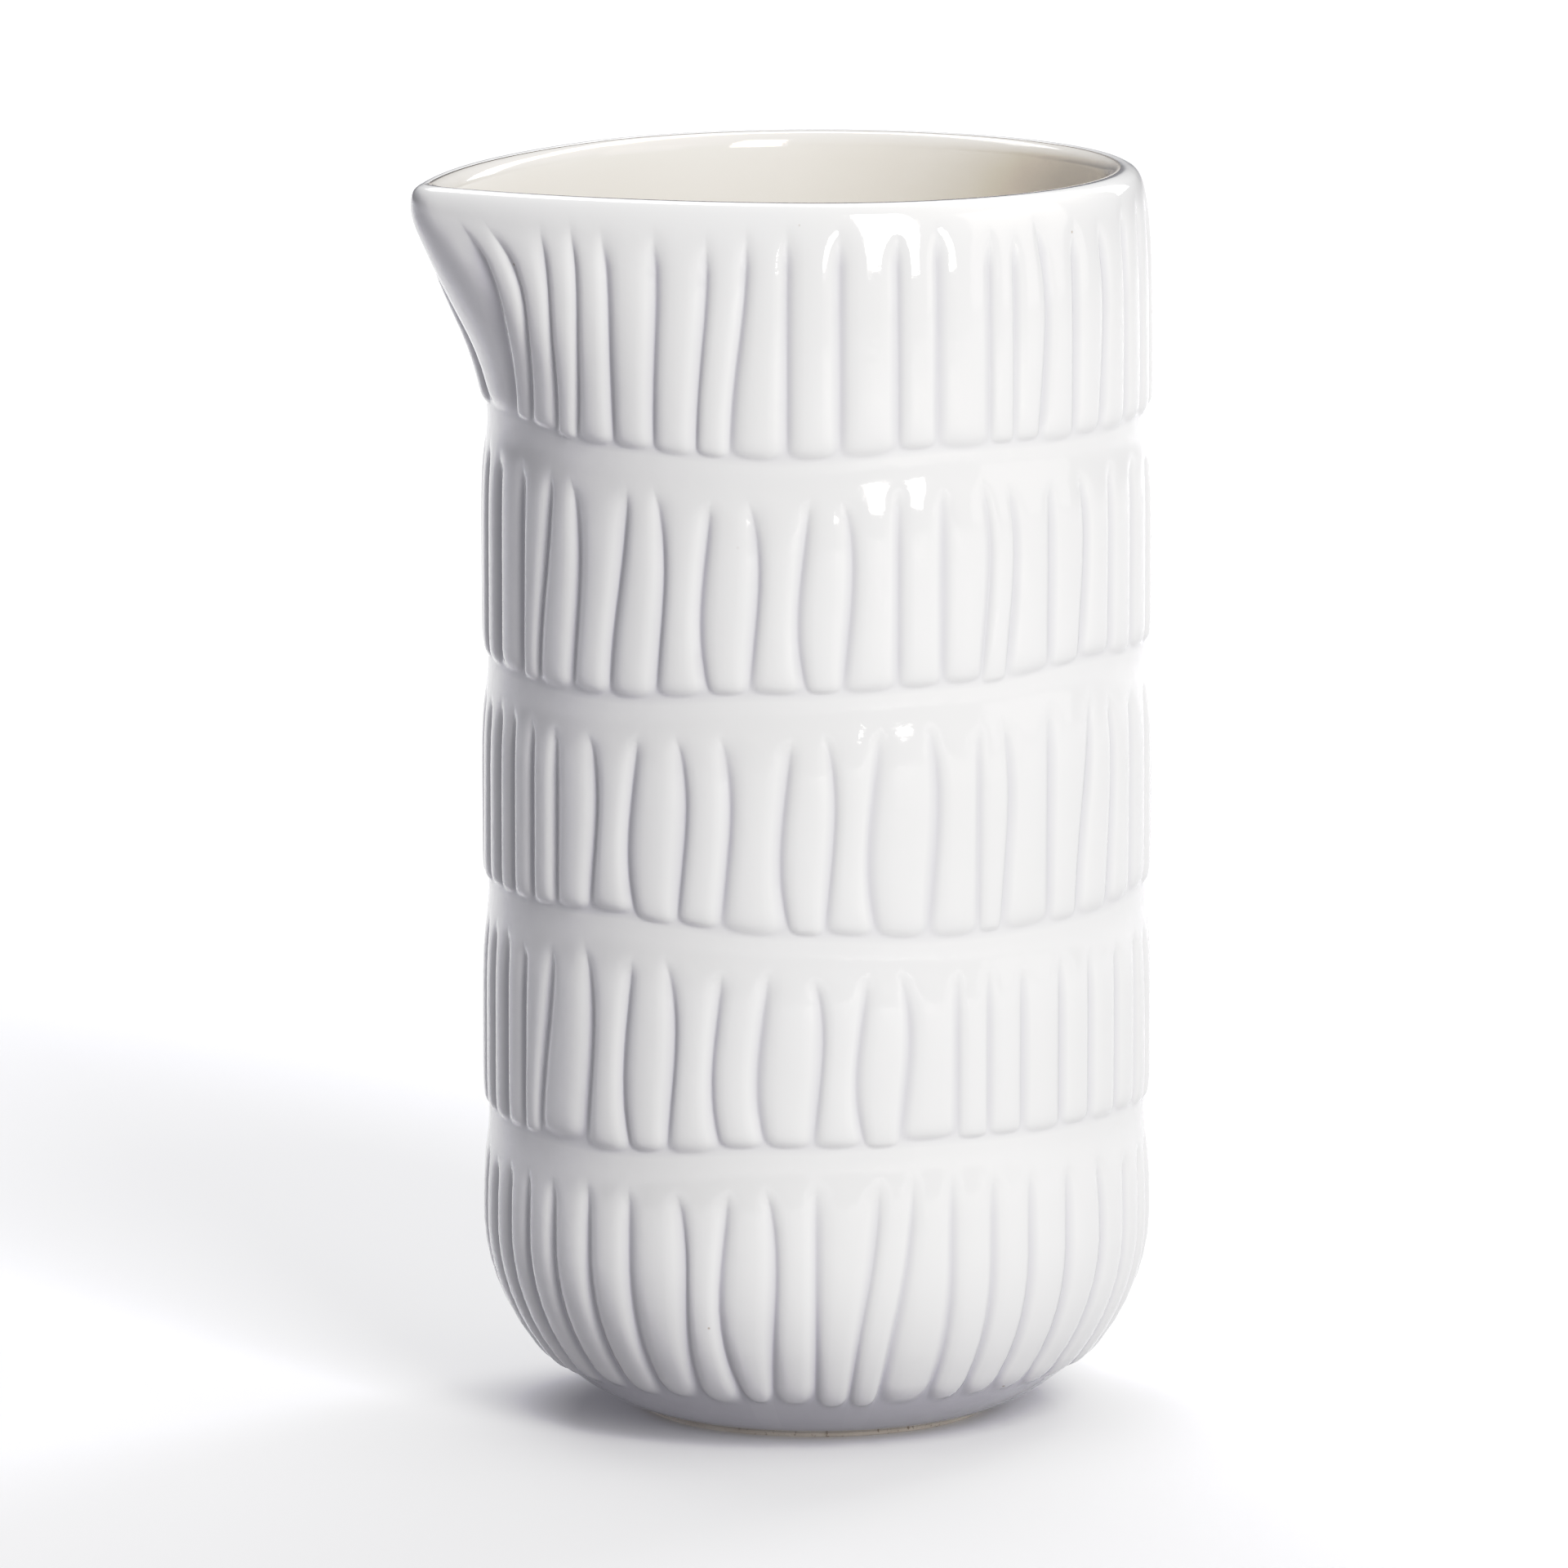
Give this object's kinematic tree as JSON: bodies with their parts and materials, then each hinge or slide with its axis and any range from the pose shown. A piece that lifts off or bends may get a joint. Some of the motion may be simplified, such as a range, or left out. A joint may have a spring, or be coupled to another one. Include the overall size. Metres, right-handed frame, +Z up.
{
  "type": "ceramic pitcher",
  "caption": "Straight-sided glazed stoneware pitcher without a handle, with bands of carved upright ribs, a pulled pouring spout and a bare foot ring.",
  "frame": {"origin": "on the table under the body's axis, at the centre of the foot ring", "axes": "+Z up the body's axis, -X towards the pouring spout, the body is straight about +Z"},
  "size_m": [0.1134, 0.0998, 0.187],
  "materials": {
    "bare_clay": "matt fired stoneware",
    "white_glaze": "gloss glaze",
    "ivory_glaze": "gloss glaze"
  },
  "bodies": {
    "root": {"clay_body": "bare_clay", "outer_glaze": "white_glaze", "inner_glaze": "ivory_glaze", "base_glaze": "white_glaze"}
  },
  "joints": []
}
